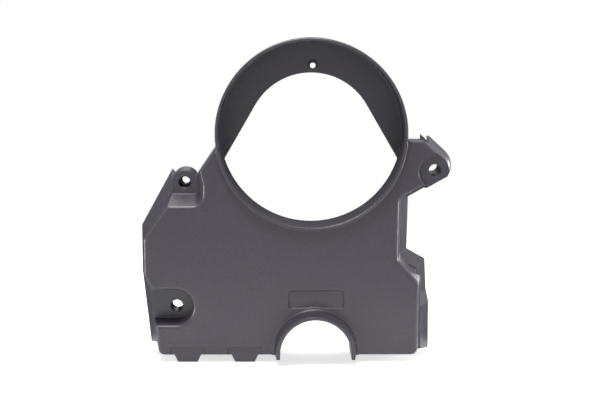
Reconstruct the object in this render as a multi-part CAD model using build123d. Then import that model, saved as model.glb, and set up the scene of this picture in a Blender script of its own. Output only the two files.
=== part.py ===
"""Lower camshaft cover: one thin-walled plastic moulding, open at the rear.

X runs to the viewer's right, Z up and Y away from the viewer. The origin is on the axis of the
camshaft opening, in the rear plane that seats on the engine. Heights are measured from that plane
towards the viewer, so a height h lies at y = -h. All sizes are in millimetres.
"""

import os
from math import cos, hypot, radians, sin, tan

from build123d import *

# Walls and drafts
wall = 2.8
face_height = 40.0
knee_height = 17.0
wall_draft = 8.0
front_round = 3.0

# Camshaft collar: a round tube whose rear end sits a little lower than its rim
collar_r = 77.8
collar_wall = 2.6
collar_height = 43.5
collar_lean = 1.3
rim_round = 1.0

# Web that closes the rear of the collar's upper half, and the arched opening in it
web_thickness = 2.8
arch_r = 53.0
arch_drop = 5.5
arch_flank_angle = 30.0
arch_tip_round = 2.0
sight_hole_r = 2.3
sight_hole_x = 1.4
sight_hole_z = 53.3
sight_boss_r = 4.1
sight_boss_proud = 0.8

# Tray: corners of the front face, from the collar's left side anticlockwise
crest_slope = 33.8
crest_x = -95.3
crest_z = -37.2
cheek_x = -109.5
cheek_top_z = -38.0
cheek_low_z = -48.5
left_x = -136.0
left_top_z = -85.0
left_low_z = -116.5
left_low_round = 8.0
waist_x = -129.3
waist_z = -129.0
foot_left_x = -125.0
foot_z = -181.6
foot_right_x = 86.9
hip_x = 88.0
hip_z = -122.3
shoulder_x = 70.4
shoulder_z = -102.5
neck_x = 71.1
corner_round = 5.0

# Right arm and its fixing boss
arm_top_z = -4.7
arm_low_angle = 29.5
arm_low_offset = 6.0
ridge_angle = 43.0
right_boss_x = 99.9
right_boss_z = -29.4
right_boss_r = 11.0
boss_flat_offset = 8.9
boss_tip_run = 11.7
boss_step_run = 13.4
right_seat_x = 101.5
right_seat_z = -30.0
right_seat_r = 13.3
right_seat_height = 36.0
right_seat_draft = 27.0
arm_notch_height = 26.0
ridge_fin_x = 88.3
ridge_fin_top_z = -0.6
ridge_fin_height = 34.0
ridge_fin_run = 8.0

# Upper left fixing boss, in a pocket that opens up and to the left
upper_boss_x = -103.6
upper_boss_z = -41.0
upper_boss_r = 7.4
upper_floor_height = 22.0
upper_pocket_x = -87.2
upper_pocket_lean = 13.5
upper_pocket_z = -58.8
upper_pocket_round = 9.0
upper_pocket_draft = 15.0
upper_ramp_draft = 25.0
upper_bolt_r = 3.3
upper_bolt_seat_height = 8.0

# Lower left fixing boss, in a pocket that opens to the left
lower_boss_x = -111.5
lower_boss_z = -144.9
lower_floor_height = 18.0
lower_pocket_x = -96.0
lower_pocket_top_z = -127.4
lower_pocket_low_z = -157.0
lower_pocket_draft = 4.0

# Sleeve holes in the bosses
sleeve_r = 4.9
boss_wall = 3.0

# Flared skirts along the two sides
skirt_lip = 3.0
skirt_draft = 23.0
skirt_end_draft = 10.0
skirt_run_on = 25.0
skirt_reach = 19.0
fin_x = -115.2
fin_z = -32.4
skirt_left_x = -141.0
skirt_left_top_z = -79.2
skirt_left_low_z = -118.0
skirt_foot_left_x = -134.5
skirt_foot_left_z = -179.3
arm_fin_x = 91.0
arm_skirt_r = 16.6
arm_skirt_low_r = 13.4
arm_skirt_length = 22.0
arm_skirt_top_z = -5.0
skirt_neck_top_x = 81.4
skirt_neck_low_x = 80.1
skirt_neck_low_z = -99.6
skirt_shoulder_x = 95.4
skirt_shoulder_z = -108.2
skirt_right_x = 96.6
skirt_bulge_top_z = -133.5
skirt_bulge_x = 99.0
skirt_bulge_low_z = -144.5
skirt_foot_right_z = -184.9
shoulder_crease_z = -104.5
shoulder_toe_x = 87.2
shoulder_toe_z = -113.6
shoulder_draft = 21.0

# Half-round shaft collar at the bottom edge
shaft_x = 3.5
shaft_z = -177.8
shaft_r = 29.0
shaft_height = 57.0
shaft_base_r = 33.6
shaft_draft = 6.0
shaft_base_round = 2.4

# Label field, left bare
label_left_x = -18.4
label_right_x = 26.5
label_top_z = -128.1
label_low_z = -142.6
label_depth = 1.2
label_round = 2.5

# Locating tabs under the bottom edge
tab_xs = (-101.4, -54.5)
tab_root_width = 21.8
tab_tip_width = 16.0
tab_length = 6.0
tab_height = 38.8
tab_field_width = 28.4
tab_field_z = -175.4
tab_round = 1.5

# Reach of the cutting bodies past what they cut, and how near to its place an edge or corner is looked for
over = 5.0
far = 400.0
near = 0.2


def at(height):
    """Plane parallel to the rear plane, its normal towards the viewer."""
    return Plane.XZ.offset(height)


def cylinder_between(x, z, radius, low, high):
    return extrude(at(low) * Pos(x, z) * Circle(radius), high - low)


def round_corners(face, corners, radius):
    """Round those corners of a flat face that lie at the given points."""
    chosen = [v for v in face.vertices() if any(hypot(v.X - x, v.Y - z) < near for x, z in corners)]
    return fillet(chosen, radius)


def by_right_boss(along, above):
    """Point given from the right boss's axis, along the arm's lower edge and square to it."""
    low = radians(arm_low_angle)
    x = right_boss_x + along * cos(low) - above * sin(low)
    return (x, right_boss_z + along * sin(low) + above * cos(low))


def flat_circle(radius, flat):
    """Circle round the right boss's axis, with a flat along the arm's lower edge."""
    below = Pos(0, -flat - far / 2) * Rectangle(far, far)
    return Pos(right_boss_x, right_boss_z) * Rot(0, 0, arm_low_angle) * (Circle(radius) - below)


def front_outline():
    """Outline of the tray at the height of its front face."""
    rise = collar_r / 2
    ridge = radians(ridge_angle)
    ridge_foot = (right_boss_x + right_boss_r * sin(ridge), right_boss_z + right_boss_r * cos(ridge))
    ridge_top_x = ridge_foot[0] - (arm_top_z - ridge_foot[1]) / tan(ridge)
    boss_step = by_right_boss(-boss_step_run, -arm_low_offset)
    arm_root = (neck_x, boss_step[1] - (boss_step[0] - neck_x) * tan(radians(arm_low_angle)))
    left_top = (left_x, left_top_z)
    left_low = (left_x, left_low_z)
    foot_left = (foot_left_x, foot_z)
    foot_right = (foot_right_x, foot_z)
    hip = (hip_x, hip_z)
    shoulder = (shoulder_x, shoulder_z)
    face = make_face(
        Polyline(
            (crest_x + (rise - crest_z) * tan(radians(crest_slope)), rise),
            (crest_x, crest_z),
            (cheek_x, cheek_top_z),
            (cheek_x, cheek_low_z),
            left_top,
            left_low,
            (waist_x, waist_z),
            foot_left,
            foot_right,
            hip,
            shoulder,
            arm_root,
            boss_step,
            by_right_boss(-boss_tip_run, -boss_flat_offset),
            by_right_boss(0, -boss_flat_offset),
            ridge_foot,
            (ridge_top_x, arm_top_z),
            (0, arm_top_z),
            close=True,
        )
    )
    face = round_corners(face, [left_top, foot_left, foot_right, hip, shoulder, arm_root], corner_round)
    face = round_corners(face, [left_low], left_low_round)
    return face + flat_circle(right_boss_r, boss_flat_offset)


def drafted(face, inset):
    """Form raised on a front outline: straight up to the knee and drafted from there to the face."""
    spread = (face_height - knee_height) * tan(radians(wall_draft)) - inset
    base = offset(face, spread, kind=Kind.INTERSECTION)
    form = extrude(at(0) * base, knee_height)
    return form + extrude(at(knee_height) * base, face_height - inset - knee_height, taper=wall_draft)


def upright_sides(inset):
    """Space beyond the two walls that have no draft: the crest, left of the collar, and the arm's top."""
    crest = Pos(inset - far / 2, far / 2) * Rectangle(far, far)
    crest = Pos(crest_x, crest_z) * Rot(0, 0, -crest_slope) * crest
    arm_top = Pos(far / 2, arm_top_z - inset + far / 2) * Rectangle(far, far)
    return extrude(at(-over) * (crest + arm_top), face_height + 2 * over)


def tray_form(inset):
    """Solid form of the tray, with the upper left boss standing out of its edge."""
    form = drafted(front_outline(), inset) - upright_sides(inset)
    return form + drafted(Pos(upper_boss_x, upper_boss_z) * Circle(upper_boss_r), inset)


def left_skirt_outline():
    """Rear outline of the left skirt, closed inside the tray and run on past its foot."""
    slope = (skirt_foot_left_x - skirt_left_x) / (skirt_foot_left_z - skirt_left_low_z)
    return make_face(
        Polyline(
            (fin_x, fin_z),
            (skirt_left_x, skirt_left_top_z),
            (skirt_left_x, skirt_left_low_z),
            (skirt_foot_left_x - slope * skirt_run_on, skirt_foot_left_z - skirt_run_on),
            (lower_boss_x, skirt_foot_left_z - skirt_run_on),
            (upper_pocket_x, upper_pocket_z),
            close=True,
        )
    )


def inner_side_x():
    """Where the forms of the right skirt close inside the tray, clear of their own draft."""
    return neck_x - skirt_lip - skirt_reach


def right_skirt_outline():
    """Rear outline of the right skirt, from under the arm down past its foot."""
    inner_x = inner_side_x()
    return make_face(
        Polyline(
            (skirt_neck_top_x, right_boss_z),
            (skirt_neck_low_x, skirt_neck_low_z),
            (skirt_shoulder_x, skirt_shoulder_z),
            (skirt_right_x, skirt_bulge_top_z),
            (skirt_bulge_x, skirt_bulge_low_z),
            (skirt_bulge_x, skirt_foot_right_z - skirt_run_on),
            (inner_x, skirt_foot_right_z - skirt_run_on),
            (inner_x, right_boss_z),
            close=True,
        )
    )


def flared(face, inset):
    """Skirt raised on a flat outline: an upright lip at the rear, then a slope into the wall."""
    edge = offset(face, -inset, kind=Kind.INTERSECTION) if inset else face
    slope = extrude(at(skirt_lip) * edge, skirt_reach - inset, taper=skirt_draft)
    return extrude(at(0) * edge, skirt_lip) + slope


def side_skirt(outline, foot, inset):
    """Skirt of one side, cut off square at its foot."""
    end = at(0) * Pos(0, foot + inset + far / 2) * Rectangle(far, far)
    return flared(outline, inset) & extrude(end, skirt_lip + skirt_reach, taper=skirt_end_draft)


def arm_strip(angle, length, radius, inset):
    """Part of the arm's skirt that runs straight from its boss along one edge."""
    line = Pos(right_boss_x, right_boss_z) * Rot(0, 0, angle)
    side = at(0) * line * Pos(-length / 2, 0) * Rectangle(length, 2 * radius)
    return flared(line * Rectangle(2 * length, 2 * radius), inset) & extrude(side, skirt_lip + skirt_reach)


def arm_skirt(inset):
    """Skirt round the arm: a cone round the boss, a strip up the ridge and one along the lower edge."""
    form = flared(flat_circle(arm_skirt_r, arm_skirt_low_r), inset)
    form += arm_strip(-ridge_angle, arm_skirt_length, arm_skirt_r, inset)
    form += arm_strip(arm_low_angle, 2 * arm_skirt_length, arm_skirt_low_r, inset)
    top = at(0) * Pos(0, arm_skirt_top_z - inset - far / 2) * Rectangle(far, far)
    return form & extrude(top, skirt_lip + skirt_reach)


def shoulder_slope(inset):
    """Slope from the crease on the right skirt's corner up to the tray's shoulder."""
    crease = skirt_lip + skirt_reach
    fall = (shoulder_crease_z - shoulder_toe_z) / (shoulder_toe_x - neck_x)
    outline = make_face(
        Polyline(
            (inner_side_x(), shoulder_crease_z + fall * (neck_x - inner_side_x())),
            (shoulder_toe_x, shoulder_toe_z),
            (hip_x, hip_z - 2 * corner_round),
            (inner_side_x(), hip_z - 2 * corner_round),
            close=True,
        )
    )
    edge = offset(outline, -inset, kind=Kind.INTERSECTION) if inset else outline
    return extrude(at(crease - inset) * edge, face_height - front_round - crease, taper=shoulder_draft)


def skirts(inset):
    form = side_skirt(left_skirt_outline(), skirt_foot_left_z, inset)
    form += side_skirt(right_skirt_outline(), skirt_foot_right_z, inset)
    return form + arm_skirt(inset) + shoulder_slope(inset)


def upper_pocket_section(height, grow):
    """Section of the upper pocket at a height: its side leans less than its lower ramp."""
    depth = face_height - height
    side_x = upper_pocket_x - depth * tan(radians(upper_pocket_draft)) + grow
    ramp_z = upper_pocket_z + depth * tan(radians(upper_ramp_draft)) - grow
    radius = upper_pocket_round - (upper_pocket_x - side_x)
    outline = make_face(
        Polyline(
            (side_x + upper_boss_z * tan(radians(upper_pocket_lean)), 0),
            (side_x, upper_boss_z),
            (side_x, ramp_z),
            (-far, ramp_z),
            (-far, 0),
            close=True,
        )
    )
    return at(height) * round_corners(outline, [(side_x, ramp_z)], radius)


def upper_pocket(grow):
    """Pocket in front of the upper left boss, grown by a wall to give the block that backs it."""
    floor = upper_pocket_section(upper_floor_height - grow, grow)
    return loft([floor, upper_pocket_section(face_height, grow)], ruled=True)


def lower_pocket(grow):
    """Pocket in front of the lower left boss, grown by a wall to give the block that backs it."""
    floor = lower_floor_height - grow
    radius = (lower_pocket_top_z - lower_pocket_low_z) / 2
    spread = grow - (face_height - lower_floor_height) * tan(radians(lower_pocket_draft))
    middle = (lower_pocket_x - radius, lower_pocket_low_z + radius)
    outline = Pos(*middle) * Circle(radius)
    outline += Pos(middle[0] - far / 2, middle[1]) * Rectangle(far, 2 * radius)
    return extrude(at(floor) * offset(outline, spread), face_height - floor, taper=-lower_pocket_draft)


def right_seat():
    """Round sunk seat for the bolt's head, which runs out over the boss's free sides."""
    floor = at(right_seat_height) * Pos(right_seat_x, right_seat_z) * Circle(right_seat_r)
    return extrude(floor, face_height - right_seat_height + over, taper=-right_seat_draft)


def cut_away(edge):
    """Whether an edge of the front face lies inside the collar or in the right seat's mouth."""
    mouth = right_seat_r + (face_height - right_seat_height) * tan(radians(right_seat_draft))
    ends = edge.vertices()
    in_seat = all(hypot(v.X - right_seat_x, v.Z - right_seat_z) < mouth for v in ends)
    return in_seat or all(hypot(v.X, v.Z) < collar_r for v in ends)


def ridge_fin():
    """Pointed end of the arm's ridge, standing over the arm's top edge."""
    ridge = radians(ridge_angle)
    outline = make_face(
        Polyline(
            (ridge_fin_x, ridge_fin_top_z),
            (ridge_fin_x, arm_top_z - wall),
            (ridge_fin_x + ridge_fin_run * cos(ridge), ridge_fin_top_z - ridge_fin_run * sin(ridge)),
            close=True,
        )
    )
    return extrude(at(arm_notch_height) * outline, ridge_fin_height - arm_notch_height)


def outer_form():
    """The whole outside of the tray with its pockets, its rounded front edges and its skirts."""
    form = tray_form(0) - upper_pocket(0) - lower_pocket(0)
    front = form.faces().sort_by(Axis.Y)[0]
    form = fillet([e for e in front.edges() if not cut_away(e)], front_round)
    form = form - right_seat() + skirts(0) + ridge_fin()
    return form - upper_pocket(0) - lower_pocket(0)


def hollow():
    """Room inside the tray: its form and skirts inset by a wall, less what the pockets and bosses fill."""
    room = tray_form(wall) + skirts(wall)
    room -= upper_pocket(wall)
    room -= lower_pocket(wall)
    room -= cylinder_between(upper_boss_x, upper_boss_z, sleeve_r + boss_wall, -over, upper_floor_height)
    room -= cylinder_between(lower_boss_x, lower_boss_z, sleeve_r + boss_wall, -over, lower_floor_height)
    room -= cylinder_between(right_boss_x, right_boss_z, sleeve_r + boss_wall, -over, face_height)
    seat_back = right_seat_height - wall
    return room - cylinder_between(right_seat_x, right_seat_z, right_seat_r + wall, seat_back, face_height)


def collar_form(inset):
    """Leaning round form of the camshaft collar under its rim, or its bore with an inset of a wall."""
    rear = at(0) * Pos(0, -collar_lean) * Circle(collar_r - inset)
    length = collar_height - 2 * rim_round
    return extrude(rear, hypot(length, collar_lean), dir=(0, -length, collar_lean))


def web_opening():
    """Arched opening in the web: a round top and two straight flanks that run down past the collar."""
    angle = radians(arch_flank_angle)
    spring = (arch_r * cos(angle), arch_r * sin(angle) - arch_drop)
    low_z = -collar_r
    low_x = spring[0] + (spring[1] - low_z) * tan(angle)
    flanks = make_face(Polyline((-low_x, low_z), (low_x, low_z), spring, (-spring[0], spring[1]), close=True))
    return flanks + Pos(0, -arch_drop) * Circle(arch_r)


def camshaft_collar():
    """Collar tube with its rounded rim, the web across its upper rear and the sight hole in the web."""
    outside = collar_form(0)
    ring = at(collar_height - 2 * rim_round) * (Circle(collar_r) - Circle(collar_r - collar_wall))
    tube = outside - collar_form(collar_wall) + extrude(ring, 2 * rim_round)
    tube = fillet([e for e in tube.edges() if e.center().Y < -collar_height + rim_round / 2], rim_round)
    web = outside & extrude(at(0) * Rectangle(far, far), web_thickness)
    web -= extrude(at(-over) * web_opening(), web_thickness + 2 * over)
    web += cylinder_between(sight_hole_x, sight_hole_z, sight_boss_r, 0, web_thickness + sight_boss_proud)
    web -= cylinder_between(sight_hole_x, sight_hole_z, sight_hole_r, -over, face_height)
    collar = tube + web
    tips = [e for e in collar.edges() if abs(e.length - web_thickness) < near and e.center().Z < 0]
    return fillet(tips, arch_tip_round)


def arch_profile(radius):
    """Round top on straight legs that run down past the bottom edge."""
    return Pos(shaft_x, shaft_z) * (Circle(radius) + Pos(0, -radius) * Rectangle(2 * radius, 2 * radius))


def sleeve_holes(body):
    body -= cylinder_between(upper_boss_x, upper_boss_z, sleeve_r, upper_bolt_seat_height, face_height)
    body -= cylinder_between(upper_boss_x, upper_boss_z, upper_bolt_r, -over, face_height)
    body -= cylinder_between(lower_boss_x, lower_boss_z, sleeve_r, -over, face_height)
    return body - cylinder_between(right_boss_x, right_boss_z, sleeve_r, -over, face_height)


def shaft_spout():
    """Tapered half-round spout on the front face, with a rounded foot, cut off level at the bottom edge."""
    slab = extrude(at(face_height - wall) * Pos(shaft_x, shaft_z) * Rectangle(far, far), wall)
    arch = at(face_height) * arch_profile(shaft_base_r)
    spout = slab + extrude(arch, shaft_height - face_height, taper=shaft_draft)
    foot = [e for e in spout.edges() if abs(e.center().Y + face_height) < near]
    reach = 2 * shaft_base_r + near
    foot = [e for e in foot if hypot(e.center().X - shaft_x, e.center().Z - shaft_z) < reach]
    spout = fillet(foot, shaft_base_round)
    kept = extrude(at(face_height - wall) * arch_profile(shaft_base_r + shaft_base_round), far)
    return spout & kept & Pos(0, -face_height, foot_z + far / 2) * Box(far, far, far)


def shaft_collar(body, outside):
    """Half-round collar: a tube wall through the tray and the spout in front of it."""
    body += extrude(at(0) * arch_profile(shaft_r + wall), face_height - front_round) & outside
    body += shaft_spout()
    return body - extrude(at(-over) * arch_profile(shaft_r), shaft_height + 2 * over)


def label_field():
    """Shallow rectangular recess for a label, with rounded upper corners."""
    width = label_right_x - label_left_x
    height = label_top_z - label_low_z
    middle = ((label_left_x + label_right_x) / 2, (label_top_z + label_low_z) / 2)
    field = at(face_height - label_depth) * Pos(*middle) * RectangleRounded(width, height, label_round)
    return extrude(field, over)


def tab(x):
    """Locating tab under the bottom edge, narrower at its tip."""
    root = tab_root_width / 2
    tip = tab_tip_width / 2
    low = foot_z - tab_length
    outline = make_face(
        Polyline(
            (x - root, foot_z + wall),
            (x - root, foot_z),
            (x - tip, low),
            (x + tip, low),
            (x + root, foot_z),
            (x + root, foot_z + wall),
            close=True,
        )
    )
    outline = round_corners(outline, [(x - tip, low), (x + tip, low)], tab_round)
    return extrude(at(tab_height - wall) * outline, wall)


def tab_field(x):
    """Flat on the front face that runs out over a tab."""
    return extrude(at(tab_height) * Pos(x, tab_field_z - far / 2) * Rectangle(tab_field_width, far), over)


def arm_notch():
    """Gap behind the arm's top edge, from the collar to the skirt."""
    gap = Pos((collar_r + arm_fin_x) / 2, 0) * Rectangle(arm_fin_x - collar_r + 2 * over, 4 * over)
    return extrude(at(-over) * gap, arm_notch_height + over)


def cover():
    outside = outer_form()
    body = outside - hollow() - arm_notch() - collar_form(collar_wall / 2) - label_field()
    for x in tab_xs:
        body -= tab_field(x)
        body += tab(x)
    body += camshaft_collar()
    body = shaft_collar(body, outside)
    return sleeve_holes(body)


if __name__ == "__main__":
    os.makedirs("parts", exist_ok=True)
    export_step(cover(), "parts/lower_camshaft_cover.step")
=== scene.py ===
"""Lower camshaft cover: the finish of the moulding, the pale studio about it and the camera.

Lengths and places are in metres, angles in degrees and the power of lamps in watts.
"""

from math import radians

import bpy
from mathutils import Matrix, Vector


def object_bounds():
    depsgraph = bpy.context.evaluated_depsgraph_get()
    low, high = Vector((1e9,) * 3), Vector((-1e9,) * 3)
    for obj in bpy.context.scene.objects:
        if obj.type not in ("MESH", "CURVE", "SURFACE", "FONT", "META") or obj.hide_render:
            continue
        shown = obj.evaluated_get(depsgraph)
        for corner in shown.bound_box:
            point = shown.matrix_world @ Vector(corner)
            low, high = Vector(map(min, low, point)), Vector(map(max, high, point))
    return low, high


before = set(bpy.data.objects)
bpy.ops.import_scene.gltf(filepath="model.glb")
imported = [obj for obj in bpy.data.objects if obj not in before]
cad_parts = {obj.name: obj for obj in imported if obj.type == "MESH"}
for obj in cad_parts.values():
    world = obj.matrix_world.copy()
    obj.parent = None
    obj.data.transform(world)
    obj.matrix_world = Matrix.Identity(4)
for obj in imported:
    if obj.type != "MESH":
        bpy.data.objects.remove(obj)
cad_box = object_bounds()
floor_z = cad_box[0][2]

WHITE = (1.0, 1.0, 1.0, 1.0)
# Strength at which a background is seen as plain white
SEEN_WHITE = 1.0
# Ends of a blend between two colours or two shaders
NONE = 0.0
ALL = 1.0

# Camera: the tilt is down from level and the turn is to the right
CAMERA_PLACE = (-0.0156, -1.21084, 0.12283)
CAMERA_TILT = 8.54
CAMERA_TURN = 0.31
# Blender's camera looks straight down until it is turned up by this much
CAMERA_LEVEL = 90.0
# Focal length and sensor width in millimetres
CAMERA_LENS = 87.9
CAMERA_SENSOR = 36.0

# Moulded plastic: near-black with a slight violet cast, finely mottled between two shades
PLASTIC_DARK = (0.029, 0.026, 0.035, 1.0)
PLASTIC_LIGHT = (0.044, 0.039, 0.052, 1.0)
PLASTIC_IOR = 1.5
MOTTLE_SIZE = 0.0013
MOTTLE_DETAIL = 2.0
# Flow marks: wide, shallow waves, along which the roughness changes a little as well
SATIN_LOW = 0.35
SATIN_HIGH = 0.44
FLOW_SIZE = 0.045
FLOW_DEPTH = 0.00012
FLOW_DETAIL = 3.0
# Fine eroded grain
GRAIN_SIZE = 0.0004
GRAIN_DEPTH = 0.00001
GRAIN_DETAIL = 2.0
# The noise stays mostly between these two values, so they count as its lowest and highest
NOISE_ENDS = (0.3, 0.7)
# Edges are shaded as if rounded to this radius
EDGE_ROUND = 0.0016
EDGE_SAMPLES = 8

# Studio: the floor fades from a matt surface about the cover into plain white away from it
FLOOR_SIZE = 14.0
FLOOR_GAP = 0.0005
FLOOR_COLOUR = (0.86, 0.86, 0.86, 1.0)
FLOOR_GLOW = 0.65
FLOOR_FADE = (0.3, 0.8)
WORLD_AMBIENT = 0.36

# Dark cards that only reflections see: name, centre, width, other side, tilt from level
CARD_COLOUR = (0.02, 0.02, 0.02, 1.0)
CARD_LIFT = 0.001
LEVEL = 0.0
UPRIGHT = 90.0
CARDS = (
    ("floor_card", (0.0, 0.62, floor_z + CARD_LIFT), 2.4, 1.2, LEVEL),
    ("opening_card", (-0.0025, 0.16, -0.064), 0.175, 0.248, UPRIGHT),
    ("left_card", (-0.33, 0.16, -0.07), 0.4, 0.236, UPRIGHT),
    ("arm_card", (0.45, 1.0, 0.1), 0.7, 0.2, UPRIGHT),
)

# Lamps: name, place, width, height, power, the point that it shines at
LAMPS = (
    ("overhead_lamp", (-0.14, -0.24, 0.7), 0.35, 0.15, 7.8, (-0.02, -0.02, -0.1)),
    ("low_front_lamp", (0.0, -0.14, -0.182), 0.7, 0.02, 0.065, (0.0, 0.0, -0.15)),
    ("left_lamp", (-0.8, 0.02, -0.16), 0.08, 0.15, 4.5, (0.0, 0.0, -0.14)),
    ("right_lamp", (0.8, 0.02, -0.09), 0.08, 0.3, 7.0, (0.0, 0.0, -0.1)),
    ("right_back_lamp", (0.45, 0.9, -0.08), 0.5, 0.12, 1.2, (0.1, 0.0, -0.14)),
    ("top_back_lamp", (0.0, 0.35, 0.9), 1.2, 0.4, 4.5, (0.0, 0.0, -0.06)),
)


class Nodes:
    """Short hand for building a node tree."""

    def __init__(self, tree):
        self.tree = tree
        tree.nodes.clear()

    def add(self, kind, **values):
        """A new node, with each value put on its socket or else on its property of that name."""
        node = self.tree.nodes.new(kind)
        for name, value in values.items():
            if name in node.inputs:
                node.inputs[name].default_value = value
            else:
                setattr(node, name, value)
        return node

    def link(self, source, target):
        """Feed an output into an input."""
        self.tree.links.new(source, target)

    def spread(self, source, ends, low, high, **values):
        """A value that runs from low to high as the source runs between its two ends."""
        mapping = self.add("ShaderNodeMapRange", clamp=True, **values)
        settings = {"From Min": ends[0], "From Max": ends[1], "To Min": low, "To Max": high}
        for name, value in settings.items():
            mapping.inputs[name].default_value = value
        self.link(source, mapping.inputs["Value"])
        return mapping.outputs["Result"]


def new_material(name):
    """A material and its empty node tree."""
    material = bpy.data.materials.new(name)
    material.use_nodes = True
    return material, Nodes(material.node_tree)


def noise(nodes, place, size, detail):
    """Noise over the object's own coordinates, with features of the given size."""
    texture = nodes.add("ShaderNodeTexNoise", Scale=1.0 / size, Detail=detail)
    nodes.link(place.outputs["Object"], texture.inputs["Vector"])
    return texture.outputs["Fac"]


def bump(nodes, height, depth, under):
    """The normals under it, with a height laid over them at the given depth."""
    node = nodes.add("ShaderNodeBump", Distance=depth)
    nodes.link(height, node.inputs["Height"])
    nodes.link(under, node.inputs["Normal"])
    return node.outputs["Normal"]


def moulded_plastic():
    """Satin black plastic: fine eroded grain, faint mottling, flow marks and soft edges."""
    material, nodes = new_material("moulded_black_plastic")
    place = nodes.add("ShaderNodeTexCoord")
    flow = noise(nodes, place, FLOW_SIZE, FLOW_DETAIL)
    grain = noise(nodes, place, GRAIN_SIZE, GRAIN_DETAIL)
    mottle = noise(nodes, place, MOTTLE_SIZE, MOTTLE_DETAIL)
    colour = nodes.add("ShaderNodeMixRGB", Color1=PLASTIC_DARK, Color2=PLASTIC_LIGHT)
    nodes.link(nodes.spread(mottle, NOISE_ENDS, NONE, ALL), colour.inputs["Fac"])
    surface = nodes.add("ShaderNodeBsdfPrincipled", IOR=PLASTIC_IOR)
    nodes.link(colour.outputs["Color"], surface.inputs["Base Color"])
    satin = nodes.spread(flow, NOISE_ENDS, SATIN_LOW, SATIN_HIGH)
    nodes.link(satin, surface.inputs["Roughness"])
    edges = nodes.add("ShaderNodeBevel", samples=EDGE_SAMPLES, Radius=EDGE_ROUND)
    waves = bump(nodes, flow, FLOW_DEPTH, edges.outputs["Normal"])
    nodes.link(bump(nodes, grain, GRAIN_DEPTH, waves), surface.inputs["Normal"])
    output = nodes.add("ShaderNodeOutputMaterial")
    nodes.link(surface.outputs["BSDF"], output.inputs["Surface"])
    return material


def dress_cover():
    """Give the moulding its finish."""
    finish = moulded_plastic()
    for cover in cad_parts.values():
        for slot in cover.material_slots:
            slot.material = finish


def seen_rays(nodes):
    """1 on the rays that see the background: straight, in a reflection or through glass."""
    rays = nodes.add("ShaderNodeLightPath")
    mirror = nodes.add("ShaderNodeMath", operation="MAXIMUM")
    seen = nodes.add("ShaderNodeMath", operation="MAXIMUM")
    nodes.link(rays.outputs["Is Glossy Ray"], mirror.inputs[0])
    nodes.link(rays.outputs["Is Transmission Ray"], mirror.inputs[1])
    nodes.link(rays.outputs["Is Camera Ray"], seen.inputs[0])
    nodes.link(mirror.outputs["Value"], seen.inputs[1])
    return seen.outputs["Value"]


def mixed(nodes, share, first, second):
    """Blend from the first shader to the second, as the share goes from none to all."""
    blend = nodes.add("ShaderNodeMixShader")
    nodes.link(share, blend.inputs["Fac"])
    nodes.link(first, blend.inputs[1])
    nodes.link(second, blend.inputs[2])
    return blend.outputs["Shader"]


def floor():
    """Pale floor, white where it is seen but for the cover's shadow on it."""
    material, nodes = new_material("studio_floor")
    matt = nodes.add("ShaderNodeBsdfDiffuse", Color=FLOOR_COLOUR)
    glow = nodes.add("ShaderNodeEmission", Color=WHITE, Strength=FLOOR_GLOW)
    near = nodes.add("ShaderNodeAddShader")
    nodes.link(matt.outputs["BSDF"], near.inputs[0])
    nodes.link(glow.outputs["Emission"], near.inputs[1])
    far = nodes.add("ShaderNodeEmission", Color=WHITE, Strength=SEEN_WHITE)
    place = nodes.add("ShaderNodeTexCoord")
    reach = nodes.add("ShaderNodeVectorMath", operation="LENGTH")
    nodes.link(place.outputs["Object"], reach.inputs[0])
    distance = reach.outputs["Value"]
    fade = nodes.spread(distance, FLOOR_FADE, NONE, ALL, interpolation_type="SMOOTHSTEP")
    looks = mixed(nodes, fade, near.outputs["Shader"], far.outputs["Emission"])
    whole = mixed(nodes, seen_rays(nodes), matt.outputs["BSDF"], looks)
    output = nodes.add("ShaderNodeOutputMaterial")
    nodes.link(whole, output.inputs["Surface"])
    middle = (0.0, 0.0, floor_z - FLOOR_GAP)
    bpy.ops.mesh.primitive_plane_add(size=FLOOR_SIZE, location=middle)
    ground = bpy.context.object
    ground.name = "studio_floor"
    ground.data.materials.append(material)


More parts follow.
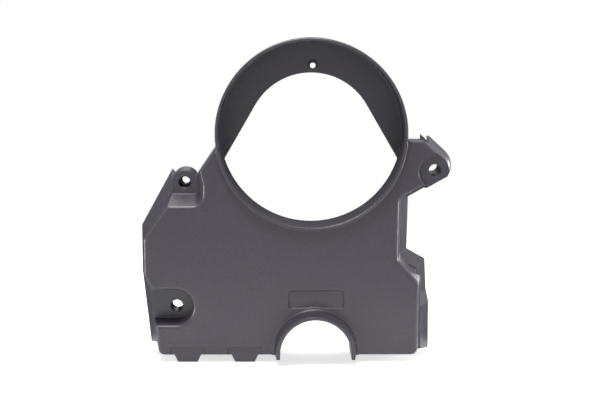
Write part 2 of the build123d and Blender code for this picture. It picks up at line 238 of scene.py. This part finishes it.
def surroundings():
    """World that is white where it is seen, and softer as a light."""
    world = bpy.data.worlds.new("studio_world")
    bpy.context.scene.world = world
    world.use_nodes = True
    nodes = Nodes(world.node_tree)
    ambient = nodes.add("ShaderNodeBackground", Color=WHITE, Strength=WORLD_AMBIENT)
    seen = nodes.add("ShaderNodeBackground", Color=WHITE, Strength=SEEN_WHITE)
    light, looks = ambient.outputs["Background"], seen.outputs["Background"]
    output = nodes.add("ShaderNodeOutputWorld")
    nodes.link(mixed(nodes, seen_rays(nodes), light, looks), output.inputs["Surface"])


def card(material, name, place, width, depth, tilt):
    """Dark card that shows only in the cover's reflections."""
    turn = (radians(tilt), 0.0, 0.0)
    bpy.ops.mesh.primitive_plane_add(size=1.0, location=place, rotation=turn)
    panel = bpy.context.object
    panel.name = name
    panel.scale = (width, depth, 1.0)
    panel.data.materials.append(material)
    panel.visible_camera = False
    panel.visible_diffuse = False
    panel.visible_shadow = False


def cards():
    """Cards behind the cover that keep its side walls, its arm and the opening's bottom dark."""
    material, nodes = new_material("studio_card")
    matt = nodes.add("ShaderNodeBsdfDiffuse", Color=CARD_COLOUR)
    output = nodes.add("ShaderNodeOutputMaterial")
    nodes.link(matt.outputs["BSDF"], output.inputs["Surface"])
    for row in CARDS:
        card(material, *row)


def lamp(name, place, width, height, power, aim):
    """Soft rectangular lamp, turned to shine at a point."""
    light = bpy.data.lights.new(name, "AREA")
    light.shape = "RECTANGLE"
    light.size = width
    light.size_y = height
    light.energy = power
    stand = bpy.data.objects.new(name, light)
    bpy.context.collection.objects.link(stand)
    stand.location = place
    stand.rotation_euler = (Vector(aim) - Vector(place)).to_track_quat("-Z", "Y").to_euler()
    stand.visible_camera = False


def lamps():
    """Lamp overhead, strips low in front and at the sides that light the edges, two behind."""
    for row in LAMPS:
        lamp(*row)


def camera():
    """Camera at the photograph's place, angle and lens."""
    view = bpy.data.cameras.new("camera")
    view.sensor_width = CAMERA_SENSOR
    view.lens = CAMERA_LENS
    stand = bpy.data.objects.new("camera", view)
    bpy.context.collection.objects.link(stand)
    stand.location = CAMERA_PLACE
    stand.rotation_euler = (radians(CAMERA_LEVEL - CAMERA_TILT), 0.0, radians(-CAMERA_TURN))
    bpy.context.scene.camera = stand


dress_cover()
floor()
surroundings()
cards()
lamps()
camera()
bpy.context.scene.view_settings.view_transform = "Standard"
